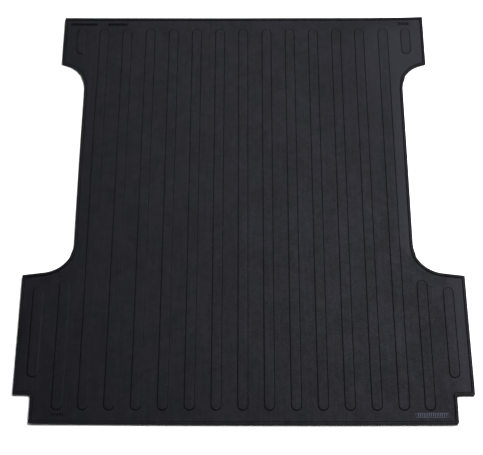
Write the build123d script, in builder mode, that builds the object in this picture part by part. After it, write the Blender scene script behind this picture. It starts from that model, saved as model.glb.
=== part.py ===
from build123d import *
from math import acos, atan2, degrees, radians, tan
import os

# Bed mat for a short-bed pickup truck: a flat moulded rubber sheet with a raised perimeter lip,
# straight obround ribs on top, round nibs underneath and cut-outs for the two wheel housings.
# Millimetres. +X is the right-hand side, +Y points to the front of the bed (the cab), +Z is up.
# The origin is the centre of the footprint, on the plane of the nib tips.

# ---- driving dimensions: plan outline ----
LENGTH = 1700.0                # front edge to tailgate edge
FRONT_WIDTH = 1470.0           # lobe ahead of the wheel housings
WAIST_WIDTH = 1275.0           # between the wheel housings
REAR_WIDTH = 1645.0            # lobe behind the wheel housings
TAIL_WIDTH = 1518.0            # between the tailgate pillars
NOTCH_DEPTH = 105.0            # length of each tailgate pillar notch
FRONT_ARCH_Y = 511.0           # where the waist turns into the front arch
FRONT_ARCH_RADIUS = 118.0
REAR_ARCH_Y = -157.0           # where the waist turns into the rear arch
REAR_ARCH_RADIUS = 122.0
REAR_SHOULDER_SLOPE = 7.0      # degrees, the edge from the rear arch out to the rear lobe
CORNER_RADIUS = 4.0

# ---- driving dimensions: thickness ----
NIB_HEIGHT = 2.0
SHEET_THICKNESS = 5.0
RIB_HEIGHT = 2.5
LIP_HEIGHT = 3.5
PANEL_HEIGHT = 1.0

# ---- driving dimensions: lip and ribs ----
LIP_WIDTH = 12.0               # at the foot
LIP_FLANK_RUN = 3.0            # how far the inner flank leans over its height
LIP_CREST_RADIUS = 1.2
RIB_PITCH = 95.0
RIB_WIDTH = 40.0               # at the foot
RIB_FLANK_RUN = 4.0            # how far each flank leans in over the rib's height
RIB_CREST_RADIUS = 1.0
LONG_RIBS_PER_SIDE = 6
RIB_FRONT_END = 798.0          # foot of every rib that starts at the front
RIB_REAR_END = -800.0          # foot of every rib that runs to the tail
SHORT_RIB_REAR_END = 676.0     # the short rib in each front lobe
INNER_REAR_RIB_FRONT_END = -305.0
OUTER_REAR_RIB_FRONT_END = -333.0
OUTER_REAR_RIB_REAR_END = -681.0

# ---- driving dimensions: underside nibs ----
NIB_PITCH = RIB_PITCH / 2
NIB_RADIUS = 6.0
NIB_TIP_RADIUS = 4.5
NIB_EDGE_MARGIN = 12.0         # least distance from a nib's centre to the mat's edge

# ---- driving dimensions: blank marking panels, (name, length, width, centre x, centre y) ----
PANEL_CORNER_RADIUS = 2.0
PANEL_EDGE_CHAMFER = 0.4
PANELS = (
    ("badge_panel_rear_right", 118.0, 18.0, 667.0, -817.0),
    ("label_panel_front_left_outer", 112.0, 13.0, -655.0, 819.0),
    ("label_panel_front_left_inner", 83.0, 13.0, -517.0, 819.0),
    ("marking_panel_front_right", 43.0, 12.0, 656.0, 821.0),
    ("marking_panel_rear_left", 46.0, 12.0, -659.0, -815.0),
)

# ---- worked out from the above ----
SHEET_TOP = NIB_HEIGHT + SHEET_THICKNESS
LIP_FLANK_ANGLE = degrees(atan2(LIP_FLANK_RUN, LIP_HEIGHT))
RIB_FLANK_ANGLE = degrees(atan2(RIB_FLANK_RUN, RIB_HEIGHT))
FRONT_ARCH_REACH = (FRONT_WIDTH - WAIST_WIDTH) / 2
FRONT_ARCH_TURN = degrees(acos(1 - FRONT_ARCH_REACH / FRONT_ARCH_RADIUS))
REAR_ARCH_TURN = 90 - REAR_SHOULDER_SLOPE
NOTCH_Y = NOTCH_DEPTH - LENGTH / 2


def is_corner(vertex):
    """True at the sharp corners of the outline, which all lie on one of three widths."""
    corner_widths = (FRONT_WIDTH, REAR_WIDTH, TAIL_WIDTH)
    return any(abs(2 * abs(vertex.X) - width) < 0.01 for width in corner_widths)


# ---- plan outlines, shared by the sheet and the lip ----
with BuildSketch() as mat_plan:
    with BuildLine() as mat_edge:
        front_arch = JernArc(
            start=(WAIST_WIDTH / 2, FRONT_ARCH_Y),
            tangent=(0, 1),
            radius=FRONT_ARCH_RADIUS,
            arc_size=-FRONT_ARCH_TURN,
        )
        rear_arch = JernArc(
            start=(WAIST_WIDTH / 2, REAR_ARCH_Y),
            tangent=(0, -1),
            radius=REAR_ARCH_RADIUS,
            arc_size=REAR_ARCH_TURN,
        )
        Line(front_arch @ 0, rear_arch @ 0)
        Polyline(front_arch @ 1, (FRONT_WIDTH / 2, LENGTH / 2), (0, LENGTH / 2))
        shoulder_run = REAR_WIDTH / 2 - (rear_arch @ 1).X
        shoulder_y = (rear_arch @ 1).Y - shoulder_run * tan(radians(REAR_SHOULDER_SLOPE))
        Polyline(
            rear_arch @ 1,
            (REAR_WIDTH / 2, shoulder_y),
            (REAR_WIDTH / 2, NOTCH_Y),
            (TAIL_WIDTH / 2, NOTCH_Y),
            (TAIL_WIDTH / 2, -LENGTH / 2),
            (0, -LENGTH / 2),
        )
        mirror(about=Plane.YZ)
    make_face()
    fillet(mat_plan.vertices().filter_by(is_corner), radius=CORNER_RADIUS)

with BuildSketch() as lip_foot_plan:
    add(mat_plan.sketch)
    offset(amount=-LIP_WIDTH, mode=Mode.REPLACE)

with BuildSketch() as nib_limit_plan:
    add(mat_plan.sketch)
    offset(amount=-NIB_EDGE_MARGIN, mode=Mode.REPLACE)


# ---- floor sheet: the flat web, with the nibs that hold it off the bed ----
def nib_places():
    """Centres of the nibs: a square grid with one nib on the origin, kept inside the outline."""
    columns = int(REAR_WIDTH / 2 // NIB_PITCH)
    rows = int(LENGTH / 2 // NIB_PITCH)
    face = nib_limit_plan.sketch.faces()[0]
    places = []
    for column in range(-columns, columns + 1):
        for row in range(-rows, rows + 1):
            place = Vector(column * NIB_PITCH, row * NIB_PITCH, 0)
            if face.is_inside(place):
                places.append(place)
    return places


with BuildPart() as floor_sheet:
    with BuildSketch(Plane.XY.offset(NIB_HEIGHT)):
        add(mat_plan.sketch)
    extrude(amount=SHEET_THICKNESS)
    with BuildSketch(Plane.XY.offset(NIB_HEIGHT)):
        with Locations(*nib_places()):
            Circle(NIB_RADIUS)
    nib_taper = degrees(atan2(NIB_RADIUS - NIB_TIP_RADIUS, NIB_HEIGHT))
    extrude(amount=-NIB_HEIGHT, taper=nib_taper)
floor_sheet.part.label = "floor_sheet"

# ---- perimeter lip: a raised rim all round, upright outside and leaning inside ----
with BuildPart() as perimeter_lip:
    with BuildSketch(Plane.XY.offset(SHEET_TOP)):
        add(mat_plan.sketch)
    extrude(amount=LIP_HEIGHT)
    with BuildSketch(Plane.XY.offset(SHEET_TOP)):
        add(lip_foot_plan.sketch)
    extrude(amount=LIP_HEIGHT, taper=-LIP_FLANK_ANGLE, mode=Mode.SUBTRACT)
    fillet(perimeter_lip.edges().group_by(Axis.Z)[-1], radius=LIP_CREST_RADIUS)
perimeter_lip.part.label = "perimeter_lip"


# ---- ribs ----
def make_rib(name, centre_x, front_end, rear_end):
    """One obround rib with leaning flanks, lying along Y on top of the sheet."""
    centre_y = (front_end + rear_end) / 2
    with BuildPart() as rib:
        with BuildSketch(Plane((centre_x, centre_y, SHEET_TOP))):
            SlotOverall(front_end - rear_end, RIB_WIDTH, rotation=90)
        extrude(amount=RIB_HEIGHT, taper=RIB_FLANK_ANGLE)
        fillet(rib.edges().group_by(Axis.Z)[-1], radius=RIB_CREST_RADIUS)
    rib.part.label = name
    return rib


long_ribs = [make_rib("long_rib_centre", 0, RIB_FRONT_END, RIB_REAR_END)]
side_ribs = []
for side, sign in (("left", -1), ("right", 1)):
    for number in range(1, LONG_RIBS_PER_SIDE + 1):
        rib_x = sign * number * RIB_PITCH
        long_ribs.append(make_rib(f"long_rib_{side}_{number}", rib_x, RIB_FRONT_END, RIB_REAR_END))
    inner_x = sign * (LONG_RIBS_PER_SIDE + 1) * RIB_PITCH
    outer_x = sign * (LONG_RIBS_PER_SIDE + 2) * RIB_PITCH
    side_ribs.append(make_rib(f"front_rib_{side}", inner_x, RIB_FRONT_END, SHORT_RIB_REAR_END))
    side_ribs.append(
        make_rib(f"rear_rib_{side}_inner", inner_x, INNER_REAR_RIB_FRONT_END, RIB_REAR_END)
    )
    side_ribs.append(
        make_rib(
            f"rear_rib_{side}_outer", outer_x, OUTER_REAR_RIB_FRONT_END, OUTER_REAR_RIB_REAR_END
        )
    )


# ---- blank marking panels: thin plain plates, where the mat has its badge and marks ----
def make_panel(name, length, width, centre_x, centre_y):
    """One thin rounded plate on top of the sheet, with its top edge broken."""
    with BuildPart() as panel:
        with BuildSketch(Plane((centre_x, centre_y, SHEET_TOP))):
            RectangleRounded(length, width, PANEL_CORNER_RADIUS)
        extrude(amount=PANEL_HEIGHT)
        chamfer(panel.edges().group_by(Axis.Z)[-1], length=PANEL_EDGE_CHAMFER)
    panel.part.label = name
    return panel


panels = [make_panel(*panel_sizes) for panel_sizes in PANELS]

# ---- one STEP file for each node ----
os.makedirs("parts", exist_ok=True)
for piece in [floor_sheet, perimeter_lip] + long_ribs + side_ribs + panels:
    export_step(piece.part, f"parts/{piece.part.label}.step")
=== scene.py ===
"""Looks of a moulded rubber bed mat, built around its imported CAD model.

Metres. +X is the mat's right-hand side, +Y points to the front of the truck bed, +Z is up.
Every visible piece is a dense mesh that replaces its CAD node. All pieces are bent by one
gentle settling field, so they stay together as one moulding would.
"""

from math import acos, atan2, ceil, cos, hypot, pi, radians, sin, sqrt, tan

import bmesh
import bpy
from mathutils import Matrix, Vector, geometry


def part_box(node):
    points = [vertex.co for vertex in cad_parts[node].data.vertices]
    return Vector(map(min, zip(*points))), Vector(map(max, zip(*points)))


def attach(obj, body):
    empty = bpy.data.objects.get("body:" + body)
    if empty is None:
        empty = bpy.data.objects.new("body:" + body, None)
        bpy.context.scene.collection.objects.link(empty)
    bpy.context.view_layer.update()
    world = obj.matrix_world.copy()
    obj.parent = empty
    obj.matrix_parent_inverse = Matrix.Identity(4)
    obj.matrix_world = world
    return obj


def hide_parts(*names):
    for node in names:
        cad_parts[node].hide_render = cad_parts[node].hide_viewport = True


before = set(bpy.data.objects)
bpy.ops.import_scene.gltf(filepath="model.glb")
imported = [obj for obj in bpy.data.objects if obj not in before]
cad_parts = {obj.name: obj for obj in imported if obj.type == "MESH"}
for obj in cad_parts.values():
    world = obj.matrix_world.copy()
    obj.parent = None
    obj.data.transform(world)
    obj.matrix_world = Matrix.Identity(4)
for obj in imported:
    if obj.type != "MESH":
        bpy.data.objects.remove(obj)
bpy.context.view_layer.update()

MM = 0.001
ROOT = "root"

# ---- sizes read from the frame ----
sheet_low, sheet_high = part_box("floor_sheet")
lip_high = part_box("perimeter_lip")[1]
rib_low, rib_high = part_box("long_rib_centre")
next_rib_low, next_rib_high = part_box("long_rib_right_1")
HALF_LENGTH = sheet_high.y
REAR_HALF = sheet_high.x
SHEET_TOP = sheet_high.z
LIP_TOP = lip_high.z
RIB_PITCH = (next_rib_high.x + next_rib_low.x - rib_high.x - rib_low.x) / 2

# ---- the outline's other sizes, the same as the CAD model's ----
FRONT_HALF = 735 * MM
WAIST_HALF = 637.5 * MM
TAIL_HALF = 759 * MM
NOTCH_DEPTH = 105 * MM
FRONT_ARCH_Y = 511 * MM
FRONT_ARCH_RADIUS = 118 * MM
REAR_ARCH_Y = -157 * MM
REAR_ARCH_RADIUS = 122 * MM
SHOULDER_SLOPE = radians(7)
CORNER_RADIUS = 4 * MM
NIB_HEIGHT = 2 * MM
SHEET_BOTTOM = sheet_low.z + NIB_HEIGHT

# ---- mesh density ----
RUN_STEP = 22 * MM             # along straight runs
GRID_STEP = 24 * MM            # across the sheet
CORNER_STEPS = 6
ARCH_STEPS = 20
ROUND_STEPS = 4                # in each rounded edge of a profile
BURY = 0.5 * MM                # how deep a raised piece is rooted in the sheet


# ---------------------------------------------------------------- small helpers
def lerp(a, b, t):
    return a + (b - a) * t


def arc(centre, radius, start, end, steps):
    """Points on a circle's arc; a negative radius gives the points on the far side."""
    angles = [lerp(start, end, step / steps) for step in range(steps + 1)]
    return [(centre[0] + radius * cos(a), centre[1] + radius * sin(a)) for a in angles]


def run(start, end, steps):
    """Points strictly between two ends of a straight run."""
    return [
        (lerp(start[0], end[0], step / steps), lerp(start[1], end[1], step / steps))
        for step in range(1, steps)
    ]


def rounded_profile(points, radii):
    """A profile of straight strokes with its inner corners rounded, one radius for each."""
    path = [points[0]]
    for before, corner, after, radius in zip(points, points[1:], points[2:], radii):
        here = Vector(corner)
        inward, outward = (Vector(before) - here).normalized(), (Vector(after) - here).normalized()
        half = acos(max(-1.0, min(1.0, inward.dot(outward)))) / 2
        reach = radius / tan(half)
        first, last = here + inward * reach, here + outward * reach
        for step in range(ROUND_STEPS + 1):
            t = step / ROUND_STEPS
            bend = first * (1 - t) ** 2 + here * 2 * t * (1 - t) + last * t**2
            path.append((bend.x, bend.y))
    path.append(points[-1])
    return path


# ---------------------------------------------------------------- the mat's outline
def sharp_corner(centre, radius, start, end, inset):
    """A convex corner drawn in by inset: an arc, or one sharp point past its radius."""
    if inset < radius:
        return arc(centre, radius - inset, start, end, CORNER_STEPS)
    middle, half = (start + end) / 2, (end - start) / 2
    reach = (inset - radius) / cos(half)
    point = (centre[0] - reach * cos(middle), centre[1] - reach * sin(middle))
    return [point] * (CORNER_STEPS + 1)


def hollow_corner(centre, radius, start, end, inset, steps):
    """A concave corner or arch drawn in by inset, which makes it larger."""
    return arc(centre, -(radius + inset), start, end, steps)


def right_bends(inset):
    """The bends of the right-hand half, from the front centre round to the rear centre."""
    radius = CORNER_RADIUS
    quarter = pi / 2
    front_arch = (WAIST_HALF + FRONT_ARCH_RADIUS, FRONT_ARCH_Y)
    rear_arch = (WAIST_HALF + REAR_ARCH_RADIUS, REAR_ARCH_Y)
    lobe_x = FRONT_HALF - radius
    lobe_rise = sqrt((FRONT_ARCH_RADIUS + radius) ** 2 - (front_arch[0] - lobe_x) ** 2)
    lobe = (lobe_x, FRONT_ARCH_Y + lobe_rise)
    lobe_turn = atan2(-lobe_rise, front_arch[0] - lobe_x)
    shoulder_turn = quarter - SHOULDER_SLOPE
    arch_end_x = rear_arch[0] - REAR_ARCH_RADIUS * cos(shoulder_turn)
    arch_end_y = rear_arch[1] - REAR_ARCH_RADIUS * sin(shoulder_turn)
    shoulder_x = REAR_HALF - radius
    shoulder_drop = (radius + (shoulder_x - arch_end_x) * cos(shoulder_turn)) / sin(shoulder_turn)
    notch_y = NOTCH_DEPTH - HALF_LENGTH
    return [
        [(0.0, HALF_LENGTH - inset)],
        sharp_corner((FRONT_HALF - radius, HALF_LENGTH - radius), radius, quarter, 0, inset),
        sharp_corner(lobe, radius, 0, lobe_turn, inset),
        hollow_corner(front_arch, FRONT_ARCH_RADIUS, lobe_turn, 0, inset, ARCH_STEPS),
        hollow_corner(rear_arch, REAR_ARCH_RADIUS, 0, shoulder_turn, inset, ARCH_STEPS),
        sharp_corner((shoulder_x, arch_end_y - shoulder_drop), radius, shoulder_turn, 0, inset),
        sharp_corner((REAR_HALF - radius, notch_y + radius), radius, 0, -quarter, inset),
        hollow_corner(
            (TAIL_HALF + radius, notch_y - radius), radius, -quarter, 0, inset, CORNER_STEPS
        ),
        sharp_corner((TAIL_HALF - radius, radius - HALF_LENGTH), radius, 0, -quarter, inset),
        [(0.0, inset - HALF_LENGTH)],
    ]


def mat_loop(inset):
    """The closed outline of the mat, drawn in by inset, with the same points for any inset."""
    bends, full_size = right_bends(inset), right_bends(0.0)
    right = list(bends[0])
    for before, after, full_before, full_after in zip(bends, bends[1:], full_size, full_size[1:]):
        gap = hypot(full_after[0][0] - full_before[-1][0], full_after[0][1] - full_before[-1][1])
        if gap < 0.01 * MM:
            right += after[1:]
        else:
            right += run(before[-1], after[0], max(1, ceil(gap / RUN_STEP))) + after
    return right + [(-x, y) for x, y in reversed(right[1:-1])]


def obround_loop(centre_x, rear_y, front_y, radius):
    """An obround along Y, given by the ends of its centre line and its radius."""
    steps = max(1, ceil((front_y - rear_y) / RUN_STEP))
    front = arc((centre_x, front_y), radius, 0, pi, 2 * CORNER_STEPS)
    rear = arc((centre_x, rear_y), radius, pi, 2 * pi, 2 * CORNER_STEPS)
    return front + run(front[-1], rear[0], steps) + rear + run(rear[-1], front[0], steps)


def box_loop(centre, half_length, half_width, radius, inset):
    """A rounded rectangle along X, drawn in by inset."""
    reach_x, reach_y = half_length - radius, half_width - radius
    if inset > radius:
        reach_x, reach_y = half_length - inset, half_width - inset
    bend = max(radius - inset, 0.0)
    steps = max(1, ceil(2 * half_length / RUN_STEP))
    loop = []
    for quarter, (side_x, side_y) in enumerate(((1, 1), (-1, 1), (-1, -1), (1, -1))):
        middle = (centre[0] + side_x * reach_x, centre[1] + side_y * reach_y)
        corner = arc(middle, bend, quarter * pi / 2, (quarter + 1) * pi / 2, CORNER_STEPS)
        if loop:
            loop += run(loop[-1], corner[0], steps)
        loop += corner
    return loop + run(loop[-1], loop[0], steps)


# ---------------------------------------------------------------- how the rubber lies
# Shifts and heights in this part are in millimetres; every span is a pair of low and high.
SHOULDER_SPAN = (-0.29, -0.17)         # y over which the side edge goes from rear lobe to waist
ARCH_SPAN = (0.52, 0.62)               # and from waist to front lobe
NOTCH_SPAN = (-0.755, -0.735)          # and from tail to rear lobe
SAG = 1.6
SAG_FRONT_PART = 0.4
SAG_FRONT_SPAN = (0.45, 0.65)
STRIP_DUST = 0.62
CORNER_DUST = 0.72
CORNER_DUST_X_SPAN = (0.38, 0.66)
CORNER_DUST_Y_SPAN = (0.15, 0.75)
CLEAN_FRONT_SPAN = (0.77, 0.82)
CLEAN_FRONT_PART = 0.7
PULL_START_SPAN = (0.600, 0.645)
PULL_REAR_SPAN = (-0.808, -0.798)
PULL_FRONT_SPAN = (0.800, 0.812)
PULL_RIGHT, PULL_RIGHT_GROWTH = 4.4, 1.0
PULL_LEFT, PULL_LEFT_GROWTH = 2.6, 1.6
REST_LIFT = 3.0
LIFT_PART = 0.55
WAVES = ((0.9, 4.1, 2.3, 0.6), (0.7, -2.9, 6.7, 1.9))    # height, turns along x and y, phase
CROSS_WAVE = 0.5
FRONT_CURL = 0.5
CORNER_CURL = 2.2
MARGIN_SPAN = (0.62, 0.76)             # share of the half width, as are the spans below
TAIL_PUSH, TAIL_PUSH_SPAN = 2.0, (-1.0, -0.82)
FRONT_PUSH = 0.9
LOBE_PUSH, LOBE_PUSH_SPAN = 1.2, (0.60, 0.72)
LEFT_PUSH, LEFT_PUSH_FALL = 0.6, 3.1
REAR_SPREAD = 1.6
SWAY = 0.5
NOTCH_SHIFT, NOTCH_SHIFT_SPAN = 3.6, (0.90, 0.95)


def ease(low, high, value):
    """0 below low, 1 above high and a smooth rise between them."""
    t = max(0.0, min(1.0, (value - low) / (high - low)))
    return t * t * (3 - 2 * t)


def side_edge(y):
    """Roughly where the side edge runs at a distance y along the mat."""
    edge = lerp(REAR_HALF, WAIST_HALF, ease(*SHOULDER_SPAN, y))
    return lerp(edge, FRONT_HALF, ease(*ARCH_SPAN, y))


def margin_sag(x, y):
    """How far the side margin droops where it runs down to the floor."""
    edge = side_edge(y)
    droop = SAG * ease(edge - 60 * MM, edge + 12 * MM, x)
    return droop * lerp(1.0, SAG_FRONT_PART, ease(*SAG_FRONT_SPAN, y))


def margin_dust(x, y):
    """How much pale dust lies on the right-hand margin and by the front right-hand corner."""
    edge = side_edge(y)
    strip = STRIP_DUST * ease(edge - 78 * MM, edge - 30 * MM, x)
    corner = CORNER_DUST * ease(*CORNER_DUST_X_SPAN, x) * ease(*CORNER_DUST_Y_SPAN, y)
    return max(strip, corner * (1 - CLEAN_FRONT_PART * ease(*CLEAN_FRONT_SPAN, y)))


def short_rib_pull(x, y):
    """How far the short side ribs and the web under them move to the centre line."""
    along = y / HALF_LENGTH
    tail = lerp(TAIL_HALF, REAR_HALF, ease(*NOTCH_SPAN, y))
    edge = min(side_edge(y), tail)
    inner, outer = edge - 42 * MM, edge - 18 * MM
    reach = ease(*PULL_START_SPAN, abs(x)) * (1 - ease(inner, outer, abs(x)))
    reach *= ease(*PULL_REAR_SPAN, y) * (1 - ease(*PULL_FRONT_SPAN, y))
    if x > 0:
        return reach * (PULL_RIGHT + PULL_RIGHT_GROWTH * along)
    return reach * (PULL_LEFT + PULL_LEFT_GROWTH * along)


def lift_at(x, y):
    """How high the mat stands off the floor."""
    across, along = x / REAR_HALF, y / HALF_LENGTH
    wave = sum(size * sin(turn_x * x + turn_y * y + phase) for size, turn_x, turn_y, phase in WAVES)
    wave += CROSS_WAVE * sin(11.3 * x + 1.2) * sin(3.1 * y + 0.4)
    front_curl = FRONT_CURL * max(0.0, along) ** 6 * (1 + sin(8.5 * x - 0.9))
    corner_curl = CORNER_CURL * (across**4) * (along**4)
    return (REST_LIFT + wave) * LIFT_PART + front_curl + corner_curl - margin_sag(abs(x), y)


def shift_across(x, y):
    """How far the mat is out of true along X."""
    across, along = x / REAR_HALF, y / HALF_LENGTH
    front, rear = max(0.0, along), max(0.0, -along)
    if x > 0:
        push = TAIL_PUSH * ease(*TAIL_PUSH_SPAN, along) + FRONT_PUSH * front
        push += LOBE_PUSH * ease(*LOBE_PUSH_SPAN, along)
        pull = short_rib_pull(x, y)
    else:
        push = max(0.0, LEFT_PUSH - LEFT_PUSH_FALL * along)
        pull = -short_rib_pull(x, y)
    shift = ease(*MARGIN_SPAN, abs(across)) * push
    shift += REAR_SPREAD * max(0.0, across) * rear + SWAY * sin(5.2 * y + 0.7) * across
    return shift - pull


def shift_along(x, y):
    """How far the mat is out of true along Y."""
    across, along = x / REAR_HALF, y / HALF_LENGTH
    front, rear = max(0.0, along), max(0.0, -along)
    front_bow = 2.9 * across - 1.9 + 3.4 * across**4 + 7.0 * max(0.0, across) ** 8
    shift = front_bow * front**4
    shift += (0.8 - 0.4 * across) * rear**6 + 3.4 * across**2 * rear**16
    return shift + NOTCH_SHIFT * ease(*NOTCH_SHIFT_SPAN, abs(across)) * rear**4


def settle(point):
    """Moves a point the few millimetres by which the flexible mat is out of true."""
    x, y = point.x, point.y
    lift = max(0.0, lift_at(x, y))
    return Vector((x + shift_across(x, y) * MM, y + shift_along(x, y) * MM, point.z + lift * MM))


# ---------------------------------------------------------------- mesh building
MERGE_DISTANCE = 0.004 * MM
SHARP_ANGLE = radians(50)


def finish_piece(name, points, faces, nodes, material, wear=None, groove_shade=None):
    """Makes one piece from its points and faces, settles it and ties it to the frame."""
    mesh = bpy.data.meshes.new(name)
    mesh.from_pydata([settle(Vector(p)) for p in points], [], faces)
    for key, values in (("wear", wear), ("groove_shade", groove_shade)):
        attribute = mesh.attributes.new(key, "FLOAT", "POINT")
        attribute.data.foreach_set("value", values or [0.0] * len(points))
    shape = bmesh.new()
    shape.from_mesh(mesh)
    bmesh.ops.remove_doubles(shape, verts=shape.verts, dist=MERGE_DISTANCE)
    bmesh.ops.dissolve_degenerate(shape, edges=shape.edges, dist=MERGE_DISTANCE)
    bmesh.ops.recalc_face_normals(shape, faces=shape.faces)
    shape.to_mesh(mesh)
    shape.free()
    mesh.shade_smooth()
    mesh.set_sharp_from_angle(angle=SHARP_ANGLE)
    mesh.materials.append(material)
    piece = bpy.data.objects.new(name, mesh)
    bpy.context.scene.collection.objects.link(piece)
    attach(piece, ROOT)
    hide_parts(*nodes)
    return piece


def skin(loops, heights, closed_ring=False):
    """Points and quads between loops of equal length, one height for each loop."""
    points, faces = [], []
    for loop, height in zip(loops, heights):
        points += [(x, y, height) for x, y in loop]
    count = len(loops[0])
    strips = len(loops) if closed_ring else len(loops) - 1
    for strip in range(strips):
        low, high = strip * count, (strip + 1) % len(loops) * count
        for i in range(count):
            j = (i + 1) % count
            faces.append((low + i, low + j, high + j, high + i))
    return points, faces


# ---------------------------------------------------------------- materials
# painted shade: how strongly the groove shade mask darkens the rubber's colour towards RUBBER_DARK
GROOVE_PAINTED_SHADE = 0.8
GROOVE_POLISH = -0.20          # added to the roughness where the painted groove shade is full
RUBBER_BLACK = (0.0030, 0.0026, 0.0037)
RUBBER_BLOOM = (0.0058, 0.0056, 0.0078)
RUBBER_OLIVE = (0.0023, 0.0031, 0.0030)
RUBBER_DUST = (0.0128, 0.0128, 0.0160)
# the darkest rubber: the label's field, and the colour of the painted shade on rib flanks and the
# lip
RUBBER_DARK = (0.0012, 0.0012, 0.0014)
LABEL_RIM = (0.0100, 0.0098, 0.0125)
BADGE_GREY = (0.050, 0.054, 0.074)
RUBBER_SHEEN = (0.84, 0.86, 1.0)


class Nodes:
    """A material's node tree, with short ways to add to it."""

    def __init__(self, name):
        self.material = bpy.data.materials.new(name)
        self.material.use_nodes = True
        self.tree = self.material.node_tree
        self.shader = self.tree.nodes["Principled BSDF"]
        place = self.tree.nodes.new("ShaderNodeTexCoord")
        self.place = place.outputs["Object"]

    def stretched(self, scale):
        """The place scaled by a different amount along each axis."""
        node = self.tree.nodes.new("ShaderNodeMapping")
        node.inputs["Scale"].default_value = scale
        self.tree.links.new(self.place, node.inputs["Vector"])
        return node.outputs["Vector"]

    def noise(self, scale, detail=3.0, roughness=0.55, distortion=0.0, place=None):
        node = self.tree.nodes.new("ShaderNodeTexNoise")
        node.inputs["Scale"].default_value = scale
        node.inputs["Detail"].default_value = detail
        node.inputs["Roughness"].default_value = roughness
        node.inputs["Distortion"].default_value = distortion
        self.tree.links.new(place or self.place, node.inputs["Vector"])
        return node.outputs["Fac"]

    def cells(self, scale):
        node = self.tree.nodes.new("ShaderNodeTexVoronoi")
        node.feature = "SMOOTH_F1"
        node.inputs["Scale"].default_value = scale
        node.inputs["Smoothness"].default_value = 0.6
        self.tree.links.new(self.place, node.inputs["Vector"])
        return node.outputs["Distance"]

    def attribute(self, name):
        node = self.tree.nodes.new("ShaderNodeAttribute")
        node.attribute_name = name
        return node.outputs["Fac"]

    def fit(self, value, low, high, to_low, to_high):
        """value stretched from low..high to to_low..to_high, and held inside it."""
        node = self.tree.nodes.new("ShaderNodeMapRange")
        node.interpolation_type = "SMOOTHSTEP"
        for key, number in zip(
            ("From Min", "From Max", "To Min", "To Max"), (low, high, to_low, to_high)
        ):
            node.inputs[key].default_value = number
        self.tree.links.new(value, node.inputs["Value"])
        return node.outputs["Result"]

    def sum(self, first, second, kind="ADD"):
        node = self.tree.nodes.new("ShaderNodeMath")
        node.operation = kind
        for socket, value in zip(node.inputs, (first, second)):
            if isinstance(value, (int, float)):
                socket.default_value = value
            else:
                self.tree.links.new(value, socket)
        return node.outputs["Value"]

    def mix(self, factor, first, second):
        node = self.tree.nodes.new("ShaderNodeMix")
        node.data_type = "RGBA"
        self.tree.links.new(factor, node.inputs["Factor"])
        for socket, colour in ((node.inputs["A"], first), (node.inputs["B"], second)):
            if isinstance(colour, tuple):
                socket.default_value = (*colour, 1.0)
            else:
                self.tree.links.new(colour, socket)
        return node.outputs["Result"]

    def bump(self, height, strength, distance, below=None):
        node = self.tree.nodes.new("ShaderNodeBump")
        node.inputs["Strength"].default_value = strength
        node.inputs["Distance"].default_value = distance
        self.tree.links.new(height, node.inputs["Height"])
        if below:
            self.tree.links.new(below, node.inputs["Normal"])
        return node.outputs["Normal"]

    def shade(self, colour, roughness, normal):
        for socket, value in (("Base Color", colour), ("Roughness", roughness), ("Normal", normal)):
            self.tree.links.new(value, self.shader.inputs[socket])

    def sheen(self, level):
        """How strongly the surface reflects, and the cool tint of what it reflects."""
        self.shader.inputs["Specular IOR Level"].default_value = level
        self.shader.inputs["Specular Tint"].default_value = (*RUBBER_SHEEN, 1.0)


def rubber(name, rough_low, rough_high, specular):
    """Moulded black rubber: cloudy bloom, flow marks, pebble grain, dust, rubbed edges and painted
    shade in grooves.
    """
    nodes = Nodes(name)
    clouds = nodes.noise(7.0, detail=5.0, roughness=0.62, distortion=0.4)
    blotches = nodes.noise(38.0, detail=4.0, roughness=0.6)
    flow = nodes.noise(1.0, detail=3.0, place=nodes.stretched((85.0, 5.0, 5.0)))
    cloud_mark = nodes.fit(clouds, 0.35, 0.68, 0.05, 0.35)
    blotch_mark = nodes.fit(blotches, 0.38, 0.66, 0.0, 0.30)
    flow_mark = nodes.fit(flow, 0.40, 0.66, 0.0, 0.25)
    mottle = nodes.noise(125.0, detail=3.0, roughness=0.65)
    mottle_mark = nodes.fit(mottle, 0.38, 0.64, 0.0, 0.34)
    bloom_mark = nodes.sum(nodes.sum(cloud_mark, blotch_mark), nodes.sum(flow_mark, mottle_mark))
    rubbed = nodes.attribute("wear")
    specks = nodes.fit(nodes.noise(900.0, detail=1.0), 0.66, 0.76, 0.0, 0.35)
    hue_mark = nodes.fit(nodes.noise(6.0, detail=3.0), 0.42, 0.60, 0.0, 1.0)
    colour = nodes.mix(hue_mark, RUBBER_BLACK, RUBBER_OLIVE)
    colour = nodes.mix(bloom_mark, colour, RUBBER_BLOOM)
    colour = nodes.mix(rubbed, colour, RUBBER_DUST)
    groove_shade = nodes.attribute("groove_shade")
    # painted shade: rib flanks, rib feet and the lip darkened towards RUBBER_DARK where the groove
    # shade mask is set
    colour = nodes.mix(nodes.sum(groove_shade, GROOVE_PAINTED_SHADE, "MULTIPLY"), colour, RUBBER_DARK)
    colour = nodes.mix(specks, colour, RUBBER_DUST)
    pebble = nodes.cells(520.0)
    grain = nodes.noise(1500.0, detail=2.0)
    ripple = nodes.noise(60.0, detail=2.0)
    roughness = nodes.fit(nodes.sum(blotches, clouds), 0.75, 1.25, rough_high, rough_low)
    roughness = nodes.sum(roughness, nodes.fit(mottle, 0.36, 0.66, 0.022, -0.022))
    roughness = nodes.sum(roughness, nodes.fit(flow, 0.38, 0.66, 0.009, -0.009))
    roughness = nodes.sum(roughness, nodes.sum(groove_shade, GROOVE_POLISH, "MULTIPLY"))
    normal = nodes.bump(ripple, 0.25, 0.6 * MM)
    normal = nodes.bump(pebble, 0.45, 0.25 * MM, below=normal)
    normal = nodes.bump(grain, 0.25, 0.10 * MM, below=normal)
    nodes.shade(colour, roughness, normal)
    nodes.sheen(specular)
    return nodes.material


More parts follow.
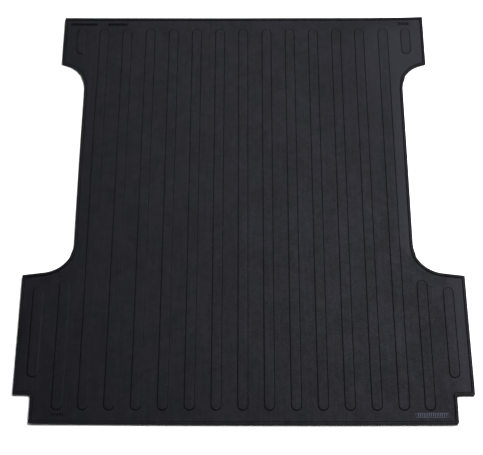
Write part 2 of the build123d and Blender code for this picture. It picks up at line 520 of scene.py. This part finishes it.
def satin_panel(name, dark, light, raised, rough_low, rough_high, specular):
    """A smooth moulded panel with faint scuffs, a fine grain and its own colour where raised."""
    nodes = Nodes(name)
    scuffs = nodes.noise(1.0, detail=4.0, place=nodes.stretched((45.0, 420.0, 120.0)))
    clouds = nodes.noise(60.0, detail=4.0)
    grain = nodes.noise(1300.0, detail=2.0)
    mark = nodes.sum(nodes.fit(scuffs, 0.40, 0.72, 0.0, 0.6), nodes.fit(clouds, 0.4, 0.7, 0.0, 0.4))
    rubbed = nodes.fit(nodes.noise(240.0, detail=2.0), 0.30, 0.62, 0.55, 1.0)
    top = nodes.sum(nodes.attribute("wear"), rubbed, "MULTIPLY")
    colour = nodes.mix(top, nodes.mix(mark, dark, light), raised)
    roughness = nodes.fit(clouds, 0.35, 0.65, rough_low, rough_high)
    nodes.shade(colour, roughness, nodes.bump(grain, 0.3, 0.08 * MM))
    nodes.sheen(specular)
    return nodes.material


sheet_rubber = rubber("sheet_rubber", 0.535, 0.575, 0.060)
rib_rubber = rubber("rib_rubber", 0.53, 0.57, 0.060)
lip_rubber = rubber("lip_rubber", 0.54, 0.62, 0.050)
label_face = satin_panel(
    "label_face", RUBBER_DARK, RUBBER_BLACK, LABEL_RIM, 0.55, 0.62, 0.02
)
badge_face = satin_panel(
    "badge_face", RUBBER_BLACK, RUBBER_BLOOM, BADGE_GREY, 0.50, 0.6, 0.06
)


# ---------------------------------------------------------------- floor sheet and nibs
SHEET_EDGE_INSET = 0.6 * MM    # the sheet's own edge hides inside the lip's outer wall
NIB_PITCH = RIB_PITCH / 2
NIB_RADIUS = 6 * MM
NIB_TIP_RADIUS = 4.5 * MM
NIB_EDGE_MARGIN = 12 * MM
NIB_SIDES = 12
NIB_SHOULDER_HEIGHT = 0.4 * MM
NIB_SHOULDER_OUTSET = 0.5 * MM


def inside(loop, x, y):
    """True where a point lies inside a closed loop."""
    odd = False
    for (x0, y0), (x1, y1) in zip(loop, loop[1:] + loop[:1]):
        if (y0 > y) != (y1 > y) and x < lerp(x0, x1, (y - y0) / (y1 - y0)):
            odd = not odd
    return odd


def grid_inside(loop, step):
    """The points of a square grid, one of them on the origin, that lie inside a loop."""
    columns, rows = int(REAR_HALF / step), int(HALF_LENGTH / step)
    places = [
        (column * step, row * step)
        for column in range(-columns, columns + 1)
        for row in range(-rows, rows + 1)
    ]
    return [place for place in places if inside(loop, *place)]


def sheet_faces():
    """Points and faces of the web: top, underside and edge."""
    edge = mat_loop(SHEET_EDGE_INSET)
    clear = mat_loop(GRID_STEP / 2)
    flat = [Vector(p) / MM for p in edge + grid_inside(clear, GRID_STEP)]
    result = geometry.delaunay_2d_cdt(flat, [], [list(range(len(edge)))], 1, 0.001)
    plan, triangles = [p * MM for p in result[0]], result[2]
    count = len(plan)
    points = [(p.x, p.y, SHEET_TOP) for p in plan] + [(p.x, p.y, SHEET_BOTTOM) for p in plan]
    faces = [tuple(t) for t in triangles]
    faces += [tuple(i + count for i in reversed(t)) for t in triangles]
    for i in range(len(edge)):
        j = (i + 1) % len(edge)
        faces.append((i, j, j + count, i + count))
    return points, faces


def nib_faces(first):
    """Points and faces of every nib: a tapered button with a rounded tip."""
    tip, shoulder = sheet_low.z, sheet_low.z + NIB_SHOULDER_HEIGHT
    rings = (
        (NIB_RADIUS, SHEET_BOTTOM + BURY),
        (NIB_RADIUS, SHEET_BOTTOM),
        (NIB_TIP_RADIUS + NIB_SHOULDER_OUTSET, shoulder),
        (NIB_TIP_RADIUS, tip),
    )
    points, faces = [], []
    for x, y in grid_inside(mat_loop(NIB_EDGE_MARGIN), NIB_PITCH):
        start = first + len(points)
        for radius, height in rings:
            for side in range(NIB_SIDES):
                angle = 2 * pi * side / NIB_SIDES
                points.append((x + radius * cos(angle), y + radius * sin(angle), height))
        for ring in range(len(rings) - 1):
            for side in range(NIB_SIDES):
                after = (side + 1) % NIB_SIDES
                low, high = start + ring * NIB_SIDES, start + (ring + 1) * NIB_SIDES
                faces.append((low + side, low + after, high + after, high + side))
        last = start + (len(rings) - 1) * NIB_SIDES
        faces.append(tuple(last + side for side in range(NIB_SIDES)))
        faces.append(tuple(start + side for side in reversed(range(NIB_SIDES))))
    return points, faces


web_points, web_faces = sheet_faces()
nib_points, nib_polygons = nib_faces(len(web_points))
sheet_points = web_points + nib_points
finish_piece(
    "floor_sheet_rubber", sheet_points, web_faces + nib_polygons,
    ["floor_sheet"], sheet_rubber,
    [margin_dust(x, y) if z > SHEET_BOTTOM + BURY else 0.0 for x, y, z in sheet_points],
)


# ---------------------------------------------------------------- perimeter lip
LIP_WIDTH = 12 * MM
LIP_FLANK_RUN = 3 * MM
LIP_FLARE = 1.2 * MM
LIP_ROOT_INSET = 1.2 * MM      # where the buried underside of the lip starts
FOOT_FEATHER = 0.05 * MM       # how far a flared foot ends below the sheet's face
# painted shade on the lip: how far its crest, outer wall and foot are darkened
CREST_SHADE, WALL_SHADE, FOOT_SHADE = 0.15, 0.3, 0.65
CREST_DEPTH = 0.5 * MM         # the part of a raised edge that counts as its crest
lip_section = rounded_profile(
    [
        (LIP_ROOT_INSET, SHEET_BOTTOM + 0.2 * MM),
        (0.0, SHEET_BOTTOM),
        (0.0, LIP_TOP),
        (LIP_WIDTH - LIP_FLANK_RUN, LIP_TOP),
        (LIP_WIDTH, SHEET_TOP),
        (LIP_WIDTH + LIP_FLARE, SHEET_TOP - FOOT_FEATHER),
    ],
    [0.5 * MM, 1.5 * MM, 1.6 * MM, 1.8 * MM],
)
lip_section += [(LIP_WIDTH + LIP_FLARE, SHEET_TOP - BURY), (LIP_ROOT_INSET, SHEET_TOP - BURY)]
lip_points, lip_faces = skin(
    [mat_loop(inset) for inset, height in lip_section],
    [height for inset, height in lip_section],
    closed_ring=True,
)


def lip_shade(inset, height):
    """How much painted shade darkens the lip: little on its crest, half on its outer wall, most at
    its foot.
    """
    if height > LIP_TOP - CREST_DEPTH:
        return CREST_SHADE
    return WALL_SHADE if inset < LIP_WIDTH / 2 else FOOT_SHADE


# painted shade for every point of the lip, given to its material as the groove shade mask
lip_painted_shade = [lip_shade(inset, height) for inset, height in lip_section for p in mat_loop(inset)]
finish_piece(
    "perimeter_lip_rubber", lip_points, lip_faces,
    ["perimeter_lip"], lip_rubber, groove_shade=lip_painted_shade,
)


# ---------------------------------------------------------------- ribs
RIB_FLANK_RUN = 3.6 * MM
RIB_FLARE = 1.0 * MM
RIB_CROWN = 0.04 * MM          # how much the top swells at the middle
RIB_FOOT_HEIGHT = 0.2 * MM
RIB_DUST_PART = 0.6            # how much of the sheet's dust the ribs carry


def make_rib(node):
    """One obround rib: a flared foot, leaning flanks, a soft crest and a faintly crowned top."""
    low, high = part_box(node)
    radius = (high.x - low.x) / 2
    centre_x = (high.x + low.x) / 2
    section = rounded_profile(
        [
            (-RIB_FLARE, low.z - FOOT_FEATHER),
            (0.0, low.z),
            (RIB_FLANK_RUN, high.z - RIB_CROWN),
            (RIB_FLANK_RUN + 4 * MM, high.z - RIB_CROWN / 2),
            (radius, high.z),
        ],
        [1.6 * MM, 1.4 * MM, 1.0 * MM],
    )
    section = [(radius, low.z - BURY), (-RIB_FLARE, low.z - BURY)] + section
    loops = [
        obround_loop(centre_x, low.y + radius, high.y - radius, max(radius - inset, 0.0))
        for inset, height in section
    ]
    points, faces = skin(loops, [height for inset, height in section])
    foot = low.z + RIB_FOOT_HEIGHT
    crest = high.z - CREST_DEPTH
    # painted shade: full at the rib's foot, fading up its flanks to none on its top
    groove_shade = [1 - ease(foot, crest, z) if z > foot else 1.0 for x, y, z in points]
    wear = [RIB_DUST_PART * margin_dust(x, y) for x, y, z in points]
    finish_piece(node + "_rubber", points, faces, [node], rib_rubber, wear, groove_shade)


for node in sorted(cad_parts):
    if "_rib_" in node:
        make_rib(node)


# ---------------------------------------------------------------- marking panels
PANEL_RADIUS = 2 * MM
PANEL_RIM = 1.3 * MM
PANEL_RIM_RUN = 0.4 * MM       # how far the rim's inner flank leans
PANEL_FIELD_DROP = 0.5 * MM
PANEL_WORN_HEIGHT = 0.3 * MM   # above the field, everything higher has the raised colour
BAR_PITCH = 7.5 * MM
BAR_WIDTH = 4 * MM
BAR_LEAN = 3 * MM              # how far a bar's front end stands to the right of its rear end
BAR_CHAMFER = 0.3 * MM


def slanted_bar(middle, half_run, low, high):
    """One raised, slanting bar of a plain hatch, with its top edges chamfered."""
    points, half = [], BAR_WIDTH / 2
    for inset, height in ((0.0, low - BURY / 2), (0.0, high - BAR_CHAMFER), (BAR_CHAMFER, high)):
        for side_x, side_y in ((-1, -1), (1, -1), (1, 1), (-1, 1)):
            y = side_y * (half_run - inset)
            x = side_x * (half - inset) + BAR_LEAN * y / (2 * half_run)
            points.append((middle[0] + x, middle[1] + y, height))
    faces = [(3, 2, 1, 0), (8, 9, 10, 11)]
    for low_ring in (0, 4):
        for side in range(4):
            after = (side + 1) % 4
            faces.append(
                (low_ring + side, low_ring + after, low_ring + 4 + after, low_ring + 4 + side)
            )
    return points, faces


def make_panel(node, material, bar_pitch=None):
    """One thin panel: a rounded rim round a lower field, blank or filled with a plain hatch."""
    low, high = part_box(node)
    centre = ((low.x + high.x) / 2, (low.y + high.y) / 2)
    half_length, half_width = (high.x - low.x) / 2, (high.y - low.y) / 2
    field = high.z - PANEL_FIELD_DROP
    section = rounded_profile(
        [
            (0.0, low.z - BURY),
            (0.0, high.z),
            (PANEL_RIM, high.z),
            (PANEL_RIM + PANEL_RIM_RUN, field),
            (half_width, field),
        ],
        [0.35 * MM, 0.3 * MM, 0.3 * MM],
    )
    section = [(half_width, low.z - BURY)] + section
    loops = [
        box_loop(centre, half_length, half_width, PANEL_RADIUS, inset) for inset, height in section
    ]
    points, faces = skin(loops, [height for inset, height in section])
    if bar_pitch:
        reach = half_length - PANEL_RIM - bar_pitch
        bars = int(2 * reach / bar_pitch)
        for number in range(bars + 1):
            middle = (centre[0] - reach + 2 * reach * number / bars, centre[1])
            bar_points, bar_faces = slanted_bar(middle, half_width - PANEL_RIM, field, high.z)
            faces += [tuple(index + len(points) for index in face) for face in bar_faces]
            points += bar_points
    wear = [1.0 if z > field + PANEL_WORN_HEIGHT else 0.0 for x, y, z in points]
    finish_piece(node + "_plate", points, faces, [node], material, wear)


for node in sorted(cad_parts):
    if node.startswith("badge_panel"):
        make_panel(node, badge_face, BAR_PITCH)
    elif node.startswith("marking_panel"):
        make_panel(node, label_face, BAR_PITCH)
    elif "_panel_" in node:
        make_panel(node, label_face)


# ---------------------------------------------------------------- floor, lights and camera
FLOOR_REACH = 20.0
SOFTBOX_SIDE = 1.6
KEY_PLACE, KEY_POWER = (1.30, 0.75, 3.71), 306.0
FRONT_PLACE, FRONT_POWER = (0.0, 2.83, 2.83), 98.0
LEFT_PLACE, LEFT_POWER = (-3.21, 1.85, 1.50), 24.0
WORLD_STRENGTH = 0.10
WORLD_TINT = (0.95, 0.97, 1.0)
CAMERA_AZIMUTH = radians(0.09)
CAMERA_ELEVATION = radians(66.52)
CAMERA_DISTANCE = 4.177
CAMERA_TARGET = Vector((-5.9 * MM, -89.6 * MM, 0.0))
CAMERA_LENS = 81.96            # on a sensor 36 wide, both in millimetres
CAMERA_SENSOR = 36.0
CAMERA_REACH = 100.0


def make_floor():
    """A wide plain floor under the mat."""
    nodes = Nodes("pale_floor")
    tone = nodes.noise(0.8, detail=2.0)
    colour = nodes.mix(tone, (0.86, 0.86, 0.86), (0.90, 0.90, 0.90))
    roughness = nodes.fit(tone, 0.3, 0.7, 0.85, 0.95)
    nodes.shade(colour, roughness, nodes.bump(nodes.noise(400.0), 0.05, 0.1 * MM))
    reach = FLOOR_REACH
    mesh = bpy.data.meshes.new("floor")
    corners = [(-reach, -reach, 0), (reach, -reach, 0), (reach, reach, 0), (-reach, reach, 0)]
    mesh.from_pydata(corners, [], [(0, 1, 2, 3)])
    mesh.materials.append(nodes.material)
    floor = bpy.data.objects.new("floor", mesh)
    bpy.context.scene.collection.objects.link(floor)


def make_softbox(name, place, side, power):
    """A square soft light at a place, turned to face the middle of the mat."""
    lamp = bpy.data.lights.new(name, "AREA")
    lamp.shape = "SQUARE"
    lamp.size = side
    lamp.energy = power
    light = bpy.data.objects.new(name, lamp)
    light.location = place
    light.rotation_mode = "QUATERNION"
    light.rotation_quaternion = (-Vector(place)).to_track_quat("-Z", "Y")
    bpy.context.scene.collection.objects.link(light)


def make_world(strength, tint):
    """A dim, slightly cool light from all round."""
    world = bpy.data.worlds.new("studio")
    world.use_nodes = True
    background = world.node_tree.nodes["Background"]
    background.inputs["Color"].default_value = (*tint, 1.0)
    background.inputs["Strength"].default_value = strength
    bpy.context.scene.world = world


def make_camera():
    """A long lens on the mat's centre line, behind the tailgate end and high above it."""
    azimuth, elevation = CAMERA_AZIMUTH, CAMERA_ELEVATION
    back = Vector(
        (sin(azimuth) * cos(elevation), -cos(azimuth) * cos(elevation), sin(elevation))
    )
    lens = bpy.data.cameras.new("camera")
    lens.lens = CAMERA_LENS
    lens.sensor_width = CAMERA_SENSOR
    lens.clip_end = CAMERA_REACH
    camera = bpy.data.objects.new("camera", lens)
    camera.location = CAMERA_TARGET + back * CAMERA_DISTANCE
    camera.rotation_mode = "QUATERNION"
    camera.rotation_quaternion = (-back).to_track_quat("-Z", "Y")
    bpy.context.scene.collection.objects.link(camera)
    bpy.context.scene.camera = camera


make_floor()
make_softbox("key", KEY_PLACE, SOFTBOX_SIDE, KEY_POWER)
make_softbox("front", FRONT_PLACE, SOFTBOX_SIDE, FRONT_POWER)
make_softbox("left", LEFT_PLACE, SOFTBOX_SIDE, LEFT_POWER)
make_world(WORLD_STRENGTH, WORLD_TINT)
make_camera()
bpy.context.scene.view_settings.view_transform = "Standard"
